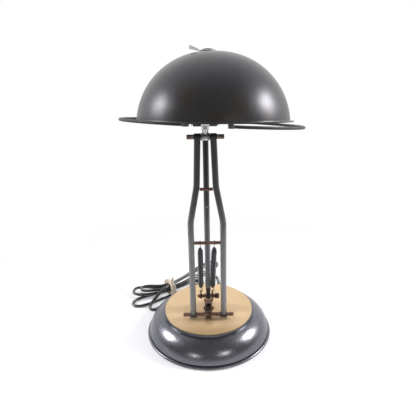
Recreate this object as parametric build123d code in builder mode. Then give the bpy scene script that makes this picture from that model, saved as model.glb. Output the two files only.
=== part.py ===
# Spring-balanced table lamp: a round weighted base, a swivelling bracket, a parallelogram arm of two bent
# tubes and a centre link, two tension springs, and a domed shade with a grab ring and a switch lever.
# Millimetres. The origin is the middle of the base's underside, +Z is up, and the front faces -Y.

import os
from math import acos, asin, atan2, cos, degrees, pi, radians, sin, sqrt, tan

from build123d import *

os.makedirs("parts", exist_ok=True)

# Fits shared by all pieces
overrun = 6.0                 # how far a cutting tool runs past a face
running_gap = 0.05            # radial clearance of a pivot
seat_gap = 0.03               # radial clearance of a fixed fit
side_gap = 0.3                # clearance between pieces that turn past each other

# Base
base_radius = 127.0           # to the outside of the rolled bead
bead_radius = 3.0
bead_lift = 0.6               # the bead hangs this far above the floor
groove_depth = 1.8
groove_height = 2.0
side_inset = 4.4              # foot of the side, in from the bead
side_lean = 29.6              # top of the side, in from its foot
body_top_height = 48.5
body_bulge = 7.0              # how far the side swells past a straight cone
shell_wall = 1.5
collar_inset = 2.8
collar_height = 6.5
plate_inset = 1.6
plate_thickness = 1.5
felt_inset = 2.0              # in from the bead
felt_thickness = 3.0
weight_inset = 22.6           # in from the foot of the side
weight_thickness = 22.0
stud_radius = 3.0
stud_head_radius = 9.0
stud_head_height = 5.0
spacer_radius = 9.0
washer_radius = 9.5
washer_thickness = 1.0
thrust_washer_radius = 5.0
nut_flats = 8.8
nut_height = 5.0
stud_end = 2.0                # thread left above the nut

# Bracket, a folded channel that swivels on the stud
cheek_half_width = 7.1
sheet = 1.6
bracket_rear = 24.0
web_height = 20.0
bolt_radius = 2.0
bolt_head_radius = 3.8
bolt_head_height = 2.6
front_bolt_y = -15.0
front_bolt_rise = 8.5
rear_bolt_y = 13.0
rear_bolt_rise = 9.0
rear_bolt_share = 0.7         # size of the rear bolt against the front one

# Pivots of the parallelogram
pivot_y = -36.7
pivot_height = 10.0           # long rod above the brass plate
bar_behind = 38.7             # short bar behind the long rod
bar_above = 17.5              # and above it
arm_length = 371.6
long_rod_radius = 3.8
long_rod_length = 100.0
bar_radius = 3.5
bar_length = 44.0
bar_boss_radius = 7.5
rod_boss_radius = 8.0
bar_nut_radius = 5.4
bar_nut_width = 4.0

# Arm frame
tube_radius = 5.75
tube_wall = 1.2
tube_spread = 30.1            # half the distance between the tubes at the foot
bend_spread = 17.2            # at the upper bend
top_spread = 13.8             # at the top rod
lower_bend_rise = 206.0       # bends above the long rod
upper_bend_rise = 278.0
bend_radius = 90.0
foot_collar_radius = 6.8
foot_collar_width = 13.8
top_collar_radius = 6.1
top_collar_width = 11.8
top_rod_radius = 4.2
top_rod_length = 65.0
rod_end_round = 1.2
spring_rod_rise = 163.0
spring_rod_radius = 3.2
spacer_rod_rise = 273.0
spacer_rod_radius = 2.9

# Centre link
link_radius = 5.5
link_wall = 1.0
link_eye_radius = 6.4
link_eye_width = 8.6
link_tip_radius = 3.8
link_taper = 22.0             # from the pivot to the full tube
link_spigot = 12.0
link_pin_radius = 2.6
link_pin_length = 20.0
link_screw_rise = 204.0
link_screw_radius = 1.9
link_screw_height = 1.3

# Springs and the eyes that hold them on the short bar
spring_hook_spread = 13.3
left_eye_x = -14.8
eye_width = 3.4
eye_collar_radius = 5.6
eye_ring_radius = 3.6
eye_wire_radius = 1.1
eye_rise = 9.6                # ring centre above the bar
spring_radius = 4.5           # middle of the coil
spring_wire_radius = 0.85
spring_hook_radius = 4.4      # round the spring rod
spring_foot_radius = 3.2      # in the eye
spring_end_length = 12.0      # from hook to the first turn
spring_turns = 16
spring_taper_turns = 2
spring_tip_share = 0.45       # radius of the end turns against the full coil

# Head
neck_eye_radius = 7.4
neck_eye_width = 8.6
neck_radius = 6.7
neck_taper_start = 6.0
neck_taper_end = 15.0
tilt_height = 26.4            # tilt bolt above the top rod
tilt_bolt_radius = 3.0
tilt_bolt_overhang = 4.5
knuckle_radius = 7.6
knuckle_reach = 20.5
tilt_head_radius = 5.6
tilt_head_height = 3.4
lug_thickness = 1.9
lug_radius = 6.4
neck_washer_radius = 6.6

# Shade
shade_lean = 15.6             # degrees, front edge raised at rest
shade_roll = 1.1              # degrees, right side lowered
shade_offset = 14.0           # shade axis to the right of the neck
shade_rise = 2.5              # rim above the tilt bolt
shade_radius = 129.4
side_arc_inset = 8.0          # centre of the side's arc, out from the axis
side_arc_drop = 8.0           # and below the rim
crown_arc_radius = 325.0
shade_wall = 1.2
lip_width = 6.4
lip_fillet = 2.5

# Lampholder, bulb and switch, on an axis beside the shade's own
holder_offset = -9.2
nipple_radius = 6.0
holder_shoulder_radius = 12.0
holder_shoulder_height = 4.0
holder_radius = 17.0
holder_length = 38.0
socket_radius = 13.8
socket_depth = 26.0
spindle_radius = 2.5
spindle_gap = 0.4
ring_nut_radius = 10.0
ring_nut_height = 1.2
bulb_cap_radius = 13.3
bulb_radius = 16.0
bulb_length = 44.0
harp_wire_radius = 2.2
harp_spread = 36.0
harp_collar_wall = 3.0
harp_collar_height = 8.0
harp_collar_drop = 20.0
lever_ring_radius = 15.0
lever_ring_gap = 0.4
lever_sheet = 1.2
lever_ring_height = 1.2
lever_width = 7.0
lever_length = 31.0
lever_flange = 6.2            # at the tip
lever_root_flange = 1.6
lever_slope = 11.0            # degrees
cap_radius = 13.6
cap_height = 3.0

# Grab ring
ring_stand = 18.6             # ring out from the lip
ring_wire_radius = 2.5
ring_shift = -2.2             # ring centre from the shade axis
ring_drop = 4.4               # and below the rim
ring_roll = 2.5               # degrees, right side lower
ring_pitch = 0.5              # degrees, front higher
ring_gap_left = 35.6          # ends either side of the neck
ring_gap_right = 42.8
ring_end_bend = 8.0
clip_width = 6.8
clip_grip = 3.5               # how far the clip holds the ring's end
clip_floor = 0.9

# Cord, hank and plug
cord_radius = 3.3
cord_sides = 8
gland_x = 24.0
gland_height = 14.0
gland_radius = 7.2
gland_tip_radius = 4.2
gland_length = 31.0
gland_stem_radius = 5.4
gland_stem_length = 12.0
cord_lift = 0.05              # free cord and plug clear the floor by this
cord_samples = 700            # points measured along a tube
fold_length = 26.0            # stretches closer than this along the cord are one bend
run_share = 0.45              # of a run that an arc takes
lead_end_share = 0.4
layer_step = 7.7
tie_lift = 2.2                # the bundle is lifted by the tie under it
tie_wall = 1.7
tie_width = 9.0
tie_x = -84.0                 # the tied waist of the hank
tie_y = 129.0
tie_aside = 5.2               # middle of the tie, out from the waist
tie_span = 29.7
tie_height = 30.6
tie_round = 4.8
plug_relief = 11.0
plug_length = 34.0
plug_width = 20.0
plug_height = 16.0
plug_round = 3.0
prong_length = 17.0
prong_width = 6.3
prong_thickness = 1.5
prong_pitch = 12.7


# Heights and planes that several pieces share
body_bottom_radius = base_radius - side_inset
body_top_radius = body_bottom_radius - side_lean
collar_radius = body_top_radius - collar_inset
deck_height = body_top_height + collar_height
plate_top = deck_height + plate_thickness
bracket_floor = plate_top + washer_thickness
pivot_z = plate_top + pivot_height
bar_y = pivot_y + bar_behind
bar_z = pivot_z + bar_above
top_z = pivot_z + arm_length
link_top_z = bar_z + arm_length
tilt_z = top_z + tilt_height
rim_z = tilt_z + shade_rise
cheek_inside = cheek_half_width - sheet
lean = radians(shade_lean)
sway = radians(shade_roll)

arm_plane = Plane((0, pivot_y, pivot_z), x_dir=(1, 0, 0), z_dir=(0, -1, 0))
shade_plane = Plane(
    (shade_offset, pivot_y, rim_z),
    x_dir=(cos(sway), 0, -sin(sway)),
    z_dir=(cos(lean) * sin(sway), sin(lean), cos(lean) * cos(sway)),
)
holder_plane = Plane(
    shade_plane.from_local_coords((holder_offset, 0, 0)), x_dir=shade_plane.x_dir, z_dir=shade_plane.z_dir
)


def section_of(plane):
    """The upright plane through a plane's own axis, with that axis as its local Y."""
    return Plane(plane.origin, x_dir=plane.x_dir, z_dir=-plane.y_dir)


def across(y, z, x=0):
    """A plane facing +X at a place in the side view: local X is +Y and local Y is +Z."""
    return Plane((x, y, z), x_dir=(0, 1, 0), z_dir=(1, 0, 0))


def write(builder, name):
    builder.part.label = name
    export_step(builder.part, f"parts/{name}.step")


shade_axis = Axis(shade_plane.origin, shade_plane.z_dir)
holder_axis = Axis(holder_plane.origin, holder_plane.z_dir)


# Base
side_rise = body_top_height - (bead_lift + 2 * bead_radius + groove_height)
side_bottom = bead_lift + 2 * bead_radius + groove_height
side_chord = sqrt(side_rise**2 + (body_bottom_radius - body_top_radius) ** 2)
chord_x = (body_bottom_radius + body_top_radius) / 2
chord_z = (side_bottom + body_top_height) / 2
bulge_x = chord_x + body_bulge * side_rise / side_chord
bulge_z = chord_z + body_bulge * (body_bottom_radius - body_top_radius) / side_chord
bead_x = base_radius - bead_radius
inner_foot_radius = bead_x - bead_radius
deck_under = deck_height - shell_wall

with BuildPart() as base_form:
    with BuildSketch(Plane.XZ):
        with BuildLine():
            Polyline((0, bead_lift), (bead_x, bead_lift))
            ThreePointArc(
                (bead_x, bead_lift),
                (base_radius, bead_lift + bead_radius),
                (bead_x, bead_lift + 2 * bead_radius),
            )
            Polyline(
                (bead_x, bead_lift + 2 * bead_radius),
                (body_bottom_radius - groove_depth, bead_lift + 2 * bead_radius),
                (body_bottom_radius - groove_depth, side_bottom),
                (body_bottom_radius, side_bottom),
            )
            ThreePointArc(
                (body_bottom_radius, side_bottom), (bulge_x, bulge_z), (body_top_radius, body_top_height)
            )
            Polyline(
                (body_top_radius, body_top_height),
                (collar_radius, body_top_height),
                (collar_radius, deck_height),
                (0, deck_height),
                (0, bead_lift),
            )
        make_face()
    revolve(axis=Axis.Z)

gland_plane = Plane((gland_x, 0, gland_height), x_dir=(1, 0, 0), z_dir=(0, 1, 0))

with BuildPart() as base_shell:
    add(base_form.part)
    with BuildSketch(Plane.XZ):
        with BuildLine():
            Polyline(
                (0, bead_lift),
                (inner_foot_radius, bead_lift),
                (body_bottom_radius - groove_depth - shell_wall, side_bottom + groove_height),
                (bulge_x - 2 * shell_wall, bulge_z - shell_wall),
                (collar_radius - shell_wall, body_top_height - 2 * shell_wall),
                (collar_radius - shell_wall, deck_under),
                (0, deck_under),
                close=True,
            )
        make_face()
    revolve(axis=Axis.Z, mode=Mode.SUBTRACT)
    with BuildSketch(Plane.XY.offset(deck_under)):
        Circle(stud_radius + seat_gap)
    extrude(amount=shell_wall, mode=Mode.SUBTRACT)
    with BuildSketch(gland_plane):
        Circle(gland_stem_radius + seat_gap)
    extrude(amount=base_radius, mode=Mode.SUBTRACT)
write(base_shell, "base_shell")

with BuildPart() as base_plate:
    with BuildSketch(Plane.XY.offset(deck_height)):
        Circle(collar_radius - plate_inset)
        Circle(stud_radius + seat_gap, mode=Mode.SUBTRACT)
    extrude(amount=plate_thickness)
write(base_plate, "base_plate")

with BuildPart() as felt_pad:
    with BuildSketch(Plane.XY):
        Circle(inner_foot_radius - felt_inset)
    extrude(amount=felt_thickness)
write(felt_pad, "felt_pad")

weight_top = felt_thickness + weight_thickness
with BuildPart() as base_weight:
    with BuildSketch(Plane.XY.offset(felt_thickness)):
        Circle(body_bottom_radius - weight_inset)
        Circle(stud_radius + seat_gap, mode=Mode.SUBTRACT)
    extrude(amount=weight_thickness)
    with BuildSketch(Plane.XY.offset(felt_thickness)):
        Circle(stud_head_radius + side_gap)
    extrude(amount=stud_head_height, mode=Mode.SUBTRACT)
write(base_weight, "base_weight")

thrust_height = bracket_floor + sheet
nut_bottom = thrust_height + washer_thickness
stud_top = nut_bottom + nut_height + stud_end
with BuildPart() as swivel_stud:
    with BuildSketch(Plane.XY.offset(felt_thickness)):
        Circle(stud_head_radius)
    extrude(amount=stud_head_height)
    with BuildSketch(Plane.XY.offset(felt_thickness)):
        Circle(stud_radius)
    extrude(amount=stud_top - felt_thickness)
write(swivel_stud, "swivel_stud")

with BuildPart() as base_spacer:
    with BuildSketch(Plane.XY.offset(weight_top)):
        Circle(spacer_radius)
        Circle(stud_radius + seat_gap, mode=Mode.SUBTRACT)
    extrude(amount=deck_under - weight_top)
write(base_spacer, "base_spacer")

with BuildPart() as swivel_washer:
    with BuildSketch(Plane.XY.offset(plate_top)):
        Circle(washer_radius)
        Circle(stud_radius + seat_gap, mode=Mode.SUBTRACT)
    extrude(amount=washer_thickness)
write(swivel_washer, "swivel_washer")

with BuildPart() as thrust_washer:
    with BuildSketch(Plane.XY.offset(thrust_height)):
        Circle(thrust_washer_radius)
        Circle(stud_radius + seat_gap, mode=Mode.SUBTRACT)
    extrude(amount=washer_thickness)
write(thrust_washer, "thrust_washer")

with BuildPart() as swivel_nut:
    with BuildSketch(Plane.XY.offset(nut_bottom)):
        RegularPolygon(radius=nut_flats / 2, side_count=6, major_radius=False)
        Circle(stud_radius + seat_gap, mode=Mode.SUBTRACT)
    extrude(amount=nut_height)
write(swivel_nut, "swivel_nut")

# Bracket and what is fixed in it
bolts = (
    (front_bolt_y, bracket_floor + front_bolt_rise, 1),
    (rear_bolt_y, bracket_floor + rear_bolt_rise, rear_bolt_share),
)
web_slant = (bar_y + bar_boss_radius) * web_height / bar_z
with BuildPart() as swivel_bracket:
    with BuildSketch(across(0, 0, -cheek_half_width)) as cheek:
        with Locations((pivot_y, pivot_z)):
            Circle(rod_boss_radius)
        with Locations((bar_y, bar_z)):
            Circle(bar_boss_radius)
        with Locations((bracket_rear, bracket_floor)):
            Rectangle(bracket_rear - pivot_y, sheet, align=(Align.MAX, Align.MIN))
        make_hull()
    extrude(amount=2 * cheek_half_width)
    with BuildSketch(Plane.XY.offset(bracket_floor - overrun)):
        with Locations((0, pivot_y)):
            Rectangle(4 * cheek_half_width, 4 * rod_boss_radius)
    extrude(amount=overrun, mode=Mode.SUBTRACT)
    with BuildSketch(across(0, 0, -cheek_inside)):
        with BuildLine():
            Polyline(
                (pivot_y - 2 * rod_boss_radius, bracket_floor + sheet),
                (bracket_rear - sheet, bracket_floor + sheet),
                (bracket_rear - sheet - web_slant, bracket_floor + web_height),
                (bracket_rear, bracket_floor + web_height),
                (bracket_rear, bar_z + 2 * bar_boss_radius),
                (pivot_y - 2 * rod_boss_radius, bar_z + 2 * bar_boss_radius),
                close=True,
            )
        make_face()
    extrude(amount=2 * cheek_inside, mode=Mode.SUBTRACT)
    with BuildSketch(across(pivot_y, pivot_z, -cheek_half_width - overrun)):
        Circle(long_rod_radius + running_gap)
    extrude(amount=2 * cheek_half_width + 2 * overrun, mode=Mode.SUBTRACT)
    with BuildSketch(across(bar_y, bar_z, -cheek_half_width - overrun)):
        Circle(bar_radius + seat_gap)
    extrude(amount=2 * cheek_half_width + 2 * overrun, mode=Mode.SUBTRACT)
    with BuildSketch(across(0, 0, -cheek_half_width - overrun)):
        for bolt_y, bolt_z, share in bolts:
            with Locations((bolt_y, bolt_z)):
                Circle(share * bolt_radius + seat_gap)
    extrude(amount=2 * cheek_half_width + 2 * overrun, mode=Mode.SUBTRACT)
    with BuildSketch(Plane.XY.offset(bracket_floor - overrun)):
        Circle(stud_radius + running_gap)
    extrude(amount=sheet + 2 * overrun, mode=Mode.SUBTRACT)
write(swivel_bracket, "swivel_bracket")

with BuildPart() as cheek_bolt:
    for bolt_y, bolt_z, share in bolts:
        with BuildSketch(across(bolt_y, bolt_z, -cheek_half_width - share * bolt_head_height)):
            Circle(share * bolt_head_radius)
        extrude(amount=share * bolt_head_height)
        with BuildSketch(across(bolt_y, bolt_z, -cheek_half_width)):
            Circle(share * bolt_radius)
        extrude(amount=2 * cheek_half_width + share * bolt_head_height + sheet)
write(cheek_bolt, "cheek_bolt")

with BuildPart() as cheek_nut:
    for bolt_y, bolt_z, share in bolts:
        with BuildSketch(across(bolt_y, bolt_z, cheek_half_width)):
            RegularPolygon(radius=share * bolt_head_radius, side_count=6)
            Circle(share * bolt_radius + seat_gap, mode=Mode.SUBTRACT)
        extrude(amount=share * bolt_head_height)
write(cheek_nut, "cheek_nut")

with BuildPart() as short_bar:
    with BuildSketch(across(bar_y, bar_z, -bar_length / 2)):
        Circle(bar_radius)
    extrude(amount=bar_length)
    fillet(short_bar.edges().group_by(Axis.X)[0], radius=rod_end_round)
write(short_bar, "short_bar")

with BuildPart() as bar_nuts:
    for place in (1, 2):
        with BuildSketch(across(bar_y, bar_z, bar_length / 2 - place * (bar_nut_width + side_gap))):
            RegularPolygon(radius=bar_nut_radius, side_count=6)
            Circle(bar_radius + seat_gap, mode=Mode.SUBTRACT)
        extrude(amount=bar_nut_width)
write(bar_nuts, "bar_nuts")


def spring_eye(eye_x, name):
    with BuildPart() as eye:
        with BuildSketch(across(bar_y, bar_z, eye_x - eye_width / 2)):
            Circle(eye_collar_radius)
        extrude(amount=eye_width)
        with BuildSketch(across(bar_y, bar_z + eye_rise, eye_x - eye_wire_radius)):
            Circle(eye_ring_radius + eye_wire_radius)
            with Locations((0, -eye_rise / 2)):
                Rectangle(2 * eye_wire_radius, eye_rise)
        extrude(amount=2 * eye_wire_radius)
        with BuildSketch(across(bar_y, bar_z + eye_rise, eye_x - eye_width)):
            Circle(eye_ring_radius - eye_wire_radius)
        extrude(amount=2 * eye_width, mode=Mode.SUBTRACT)
        with BuildSketch(across(bar_y, bar_z, eye_x - eye_width)):
            Circle(bar_radius + seat_gap)
        extrude(amount=2 * eye_width, mode=Mode.SUBTRACT)
    write(eye, name)


right_eye_x = cheek_half_width + side_gap + eye_width / 2
spring_eye(left_eye_x, "spring_eye_left")
spring_eye(right_eye_x, "spring_eye_right")


# Arm frame
def arm_x(rise):
    """Half the distance between the tubes at a height above the long rod."""
    if rise <= lower_bend_rise:
        return tube_spread
    if rise <= upper_bend_rise:
        share = (rise - lower_bend_rise) / (upper_bend_rise - lower_bend_rise)
        return tube_spread + (bend_spread - tube_spread) * share
    share = (rise - upper_bend_rise) / (arm_length - upper_bend_rise)
    return bend_spread + (top_spread - bend_spread) * share


def arm_tube(side, name):
    with BuildPart() as tube:
        with BuildLine(arm_plane) as tube_path:
            FilletPolyline(
                (side * tube_spread, 0),
                (side * tube_spread, lower_bend_rise),
                (side * bend_spread, upper_bend_rise),
                (side * top_spread, arm_length),
                radius=bend_radius,
            )
        with BuildSketch(Plane((side * tube_spread, pivot_y, pivot_z))):
            Circle(tube_radius)
            Circle(tube_radius - tube_wall, mode=Mode.SUBTRACT)
        sweep(path=tube_path.line)
        with BuildSketch(across(pivot_y, pivot_z, side * tube_spread - foot_collar_width)):
            Circle(foot_collar_radius + seat_gap)
        extrude(amount=2 * foot_collar_width, mode=Mode.SUBTRACT)
        with BuildSketch(across(pivot_y, top_z, side * top_spread - top_collar_width)):
            Circle(top_collar_radius + seat_gap)
        extrude(amount=2 * top_collar_width, mode=Mode.SUBTRACT)
    write(tube, name)


def cross_collar(x, z, width, radius, bore, round_over, name):
    with BuildPart() as collar:
        with BuildSketch(across(pivot_y, z, x - width / 2)):
            Circle(radius)
        extrude(amount=width)
        fillet(collar.edges(), radius=round_over)
        with BuildSketch(across(pivot_y, z, x - width)):
            Circle(bore)
        extrude(amount=2 * width, mode=Mode.SUBTRACT)
    write(collar, name)


for side, side_name in ((-1, "left"), (1, "right")):
    arm_tube(side, f"arm_tube_{side_name}")
    cross_collar(
        side * tube_spread, pivot_z, foot_collar_width, foot_collar_radius,
        long_rod_radius + seat_gap, foot_collar_radius / 3, f"foot_collar_{side_name}",
    )
    cross_collar(
        side * top_spread, top_z, top_collar_width, top_collar_radius,
        top_rod_radius + seat_gap, rod_end_round, f"top_collar_{side_name}",
    )


def cross_rod(z, radius, length, round_over, name):
    with BuildPart() as rod:
        with BuildSketch(across(pivot_y, z, -length / 2)):
            Circle(radius)
        extrude(amount=length)
        if round_over:
            fillet(rod.edges().filter_by(GeomType.CIRCLE), radius=round_over)
    write(rod, name)


spacer_reach = arm_x(spacer_rod_rise) - tube_radius
spacer_lean = (tube_spread - bend_spread) / (upper_bend_rise - lower_bend_rise)
spacer_half = spacer_reach - spacer_lean * spacer_rod_radius - seat_gap
cross_rod(pivot_z, long_rod_radius, long_rod_length, rod_end_round, "long_rod")
cross_rod(top_z, top_rod_radius, top_rod_length, rod_end_round, "top_rod")
spring_rod_length = 2 * (tube_spread - tube_radius - seat_gap)
cross_rod(pivot_z + spring_rod_rise, spring_rod_radius, spring_rod_length, 0, "spring_rod")
cross_rod(pivot_z + spacer_rod_rise, spacer_rod_radius, 2 * spacer_half, 0, "spacer_rod")


# Centre link
def link_end(z, up, name):
    """An eye on a pivot, a taper up to the tube and a spigot inside the tube."""
    end_plane = Plane((0, bar_y, z), x_dir=(1, 0, 0), z_dir=(0, 0, up))
    bore = bar_radius if up > 0 else link_pin_radius
    clearance = running_gap if up > 0 else side_gap
    spigot_radius = link_radius - link_wall - seat_gap
    with BuildPart() as end:
        with BuildSketch(section_of(end_plane)):
            with BuildLine():
                Polyline(
                    (0, 0),
                    (link_tip_radius, 0),
                    (link_tip_radius, link_eye_radius),
                    (link_radius, link_taper),
                    (spigot_radius, link_taper),
                    (spigot_radius, link_taper + link_spigot),
                    (0, link_taper + link_spigot),
                    close=True,
                )
            make_face()
        revolve(axis=Axis(end_plane.origin, end_plane.z_dir))
        with BuildSketch(across(bar_y, z, -link_eye_width / 2)):
            Circle(link_eye_radius)
        extrude(amount=link_eye_width)
        with BuildSketch(across(bar_y, z, -link_eye_width)):
            Circle(bore + clearance)
        extrude(amount=2 * link_eye_width, mode=Mode.SUBTRACT)
    write(end, name)


link_end(bar_z, 1, "link_lower_end")
link_end(link_top_z, -1, "link_upper_end")

screw_plane = Plane((0, bar_y, bar_z + link_screw_rise), x_dir=(1, 0, 0), z_dir=(0, -1, 0))
with BuildPart() as link_tube:
    with BuildSketch(Plane((0, bar_y, bar_z + link_taper))):
        Circle(link_radius)
        Circle(link_radius - link_wall, mode=Mode.SUBTRACT)
    extrude(amount=arm_length - 2 * link_taper)
    with BuildSketch(screw_plane):
        Circle(link_screw_radius + seat_gap)
    extrude(amount=link_radius + overrun, mode=Mode.SUBTRACT)
write(link_tube, "link_tube")

with BuildPart() as link_screw:
    with BuildSketch(screw_plane.offset(link_radius - 2 * link_wall)):
        Circle(link_screw_radius)
    extrude(amount=2 * link_wall + link_screw_height)
write(link_screw, "link_screw")


# Balance springs: one unbroken wire each, from the hook on the arm's spring rod to the eye on the short bar
def biarc(start, start_way, end, end_way):
    """Two tangent arcs from start to end that keep both directions."""
    span = end - start
    spare = 2 * (1 - start_way.dot(end_way))
    along = span.dot(start_way + end_way)
    reach = (-along + sqrt(along**2 + spare * span.dot(span))) / spare
    middle = (start + end + (start_way - end_way) * reach) / 2
    middle_way = (end - end_way * reach) - (start + start_way * reach)
    TangentArc(start, middle, tangent=start_way)
    TangentArc(middle, end, tangent=middle_way)


def spring_point(frame, height, radius, angle):
    return frame.from_local_coords((radius * cos(angle), radius * sin(angle), height))


def least_gap(points, wire_radius, apart):
    """The smallest clearance between stretches of one wire that are further apart along it."""
    least = None
    for first in range(len(points)):
        for second in range(first + apart, len(points)):
            gap = (points[first] - points[second]).length - 2 * wire_radius
            least = gap if least is None else min(least, gap)
    return least


def spring(side, eye_x, name):
    upper = Vector(side * spring_hook_spread, pivot_y, pivot_z + spring_rod_rise)
    lower = Vector(eye_x, bar_y, bar_z + eye_rise + eye_ring_radius)
    frame = Plane(lower, x_dir=(1, 0, 0), z_dir=upper - lower)
    length = (upper - lower).length
    pitch = (length - 2 * spring_end_length) / spring_turns
    last = 4 * spring_turns + 1
    hook = spring_hook_radius
    foot = spring_foot_radius

    def coil_place(quarter):
        from_end = min(quarter, last - quarter) / 4
        share = min(1, from_end / spring_taper_turns)
        radius = spring_radius * (spring_tip_share + (1 - spring_tip_share) * sin(share * pi / 2))
        height = spring_end_length + pitch * quarter * spring_turns / last
        return spring_point(frame, height, radius, quarter * pi / 2)

    def coil_way(quarter):
        step_share = 0.02
        return (coil_place(quarter + step_share) - coil_place(quarter - step_share)).normalized()

    with BuildPart() as coil:
        with BuildLine() as coil_path:
            ThreePointArc(
                frame.from_local_coords((-foot, 0, 0)),
                frame.from_local_coords((0, 0, -foot)),
                frame.from_local_coords((foot, 0, 0)),
            )
            biarc(frame.from_local_coords((foot, 0, 0)), frame.z_dir, coil_place(0), coil_way(0))
            for quarter in range(last):
                biarc(coil_place(quarter), coil_way(quarter), coil_place(quarter + 1), coil_way(quarter + 1))
            biarc(coil_place(last), coil_way(last), frame.from_local_coords((0, hook, length)), frame.z_dir)
            ThreePointArc(
                frame.from_local_coords((0, hook, length)),
                frame.from_local_coords((0, 0, length + hook)),
                frame.from_local_coords((0, -hook, length)),
            )
        with BuildSketch(Plane(coil_path.line @ 0, x_dir=frame.y_dir, z_dir=coil_path.line % 0)):
            RegularPolygon(radius=spring_wire_radius, side_count=4)
        sweep(path=coil_path.line, clean=False)
    points = [coil_place(quarter / 2) for quarter in range(2 * last + 1)]
    print(name, "least gap to itself", round(least_gap(points, spring_wire_radius, 6), 2))
    write(coil, name)


spring(-1, left_eye_x, "spring_left")
spring(1, right_eye_x, "spring_right")


# Head: the neck on the top rod
neck_plane = Plane((0, pivot_y, top_z))
with BuildPart() as neck:
    with BuildSketch(section_of(neck_plane)):
        with BuildLine():
            Polyline(
                (0, 0),
                (neck_eye_width / 2, 0),
                (neck_eye_width / 2, neck_taper_start),
                (neck_radius, neck_taper_end),
                (neck_radius, tilt_height),
                (0, tilt_height),
                close=True,
            )
        make_face()
    revolve(axis=Axis(neck_plane.origin, neck_plane.z_dir))
    with BuildSketch(across(pivot_y, top_z, -neck_eye_width / 2)):
        Circle(neck_eye_radius)
    extrude(amount=neck_eye_width)
    with BuildSketch(across(pivot_y, tilt_z, -neck_radius)):
        Circle(knuckle_radius)
    extrude(amount=2 * neck_radius)
    for lug_x in (-link_eye_width / 2 - side_gap - lug_thickness, link_eye_width / 2 + side_gap):
        with BuildSketch(across(0, 0, lug_x)):
            with Locations((bar_y, link_top_z)):
                Circle(lug_radius)
            with Locations((pivot_y + neck_radius / 2, link_top_z)):
                Circle(lug_radius)
            make_hull()
        extrude(amount=lug_thickness)
    with BuildSketch(across(pivot_y, top_z, -neck_radius - overrun)):
        Circle(top_rod_radius + running_gap)
    extrude(amount=2 * neck_radius + 2 * overrun, mode=Mode.SUBTRACT)
    with BuildSketch(across(pivot_y, tilt_z, -neck_radius - overrun)):
        Circle(tilt_bolt_radius + seat_gap)
    extrude(amount=2 * neck_radius + 2 * overrun, mode=Mode.SUBTRACT)
    with BuildSketch(across(bar_y, link_top_z, -neck_radius - overrun)):
        Circle(link_pin_radius + seat_gap)
    extrude(amount=2 * neck_radius + 2 * overrun, mode=Mode.SUBTRACT)
write(neck, "neck")

with BuildPart() as link_pin:
    with BuildSketch(across(bar_y, link_top_z, -link_pin_length / 2)):
        Circle(link_pin_radius)
    extrude(amount=link_pin_length)
write(link_pin, "link_pin")

washer_reach = top_spread - top_collar_width / 2
with BuildPart() as neck_washers:
    for washer_x in (-washer_reach + side_gap, neck_eye_width / 2 + side_gap):
        with BuildSketch(across(pivot_y, top_z, washer_x)):
            Circle(neck_washer_radius)
            Circle(top_rod_radius + seat_gap, mode=Mode.SUBTRACT)
        extrude(amount=washer_reach - neck_eye_width / 2 - 2 * side_gap)
write(neck_washers, "neck_washers")

bolt_seat = knuckle_reach + side_gap
with BuildPart() as tilt_bolt:
    with BuildSketch(across(pivot_y, tilt_z, -bolt_seat - tilt_head_height)):
        Circle(tilt_head_radius)
    extrude(amount=tilt_head_height)
    with BuildSketch(across(pivot_y, tilt_z, -bolt_seat)):
        Circle(tilt_bolt_radius)
    extrude(amount=2 * bolt_seat + tilt_bolt_overhang)
write(tilt_bolt, "tilt_bolt")

with BuildPart() as tilt_nut:
    with BuildSketch(across(pivot_y, tilt_z, bolt_seat)):
        RegularPolygon(radius=tilt_head_radius, side_count=6)
        Circle(tilt_bolt_radius + seat_gap, mode=Mode.SUBTRACT)
    extrude(amount=tilt_head_height)
write(tilt_nut, "tilt_nut")

# Shade: a round side arc that runs on, tangent, into a flatter crown
side_arc_radius = sqrt((shade_radius - side_arc_inset) ** 2 + side_arc_drop**2)
rim_angle = asin(side_arc_drop / side_arc_radius)
join_angle = acos(side_arc_inset / (crown_arc_radius - side_arc_radius))
crown_centre = -side_arc_drop - (crown_arc_radius - side_arc_radius) * sin(join_angle)
apex_height = crown_centre + crown_arc_radius


def side_place(wall, share):
    radius = side_arc_radius - wall
    angle = rim_angle + (join_angle - rim_angle) * share
    return (side_arc_inset + radius * cos(angle), radius * sin(angle) - side_arc_drop)


def crown_place(wall, share):
    radius = crown_arc_radius - wall
    angle = join_angle + (pi / 2 - join_angle) * share
    return (radius * cos(angle), crown_centre + radius * sin(angle))


nut_seat = apex_height
with BuildPart() as shade:
    with BuildSketch(section_of(shade_plane)) as shade_profile:
        with BuildLine():
            Line(side_place(shade_wall, 0), (shade_radius - shade_wall, -shade_wall))
            Polyline(
                (shade_radius - shade_wall, -shade_wall),
                (shade_radius + lip_width, -shade_wall),
                (shade_radius + lip_width, 0),
                (shade_radius, 0),
            )
            ThreePointArc(side_place(0, 0), side_place(0, 1 / 2), side_place(0, 1))
            ThreePointArc(crown_place(0, 0), crown_place(0, 1 / 2), crown_place(0, 1))
            Line(crown_place(0, 1), crown_place(shade_wall, 1))
            ThreePointArc(*[crown_place(shade_wall, share) for share in (1, 1 / 2, 0)])
            ThreePointArc(*[side_place(shade_wall, share) for share in (1, 1 / 2, 0)])
        make_face()
    revolve(axis=shade_axis)
    with BuildSketch(holder_plane.offset(apex_height - 2 * overrun)):
        Circle(nipple_radius + side_gap)
    extrude(amount=2 * overrun + overrun, mode=Mode.SUBTRACT)
    lip_edges = shade.edges().filter_by(GeomType.CIRCLE).filter_by(
        lambda edge: abs(edge.radius - shade_radius) < seat_gap
    )
    fillet(lip_edges, radius=lip_fillet)
write(shade, "shade")

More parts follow.
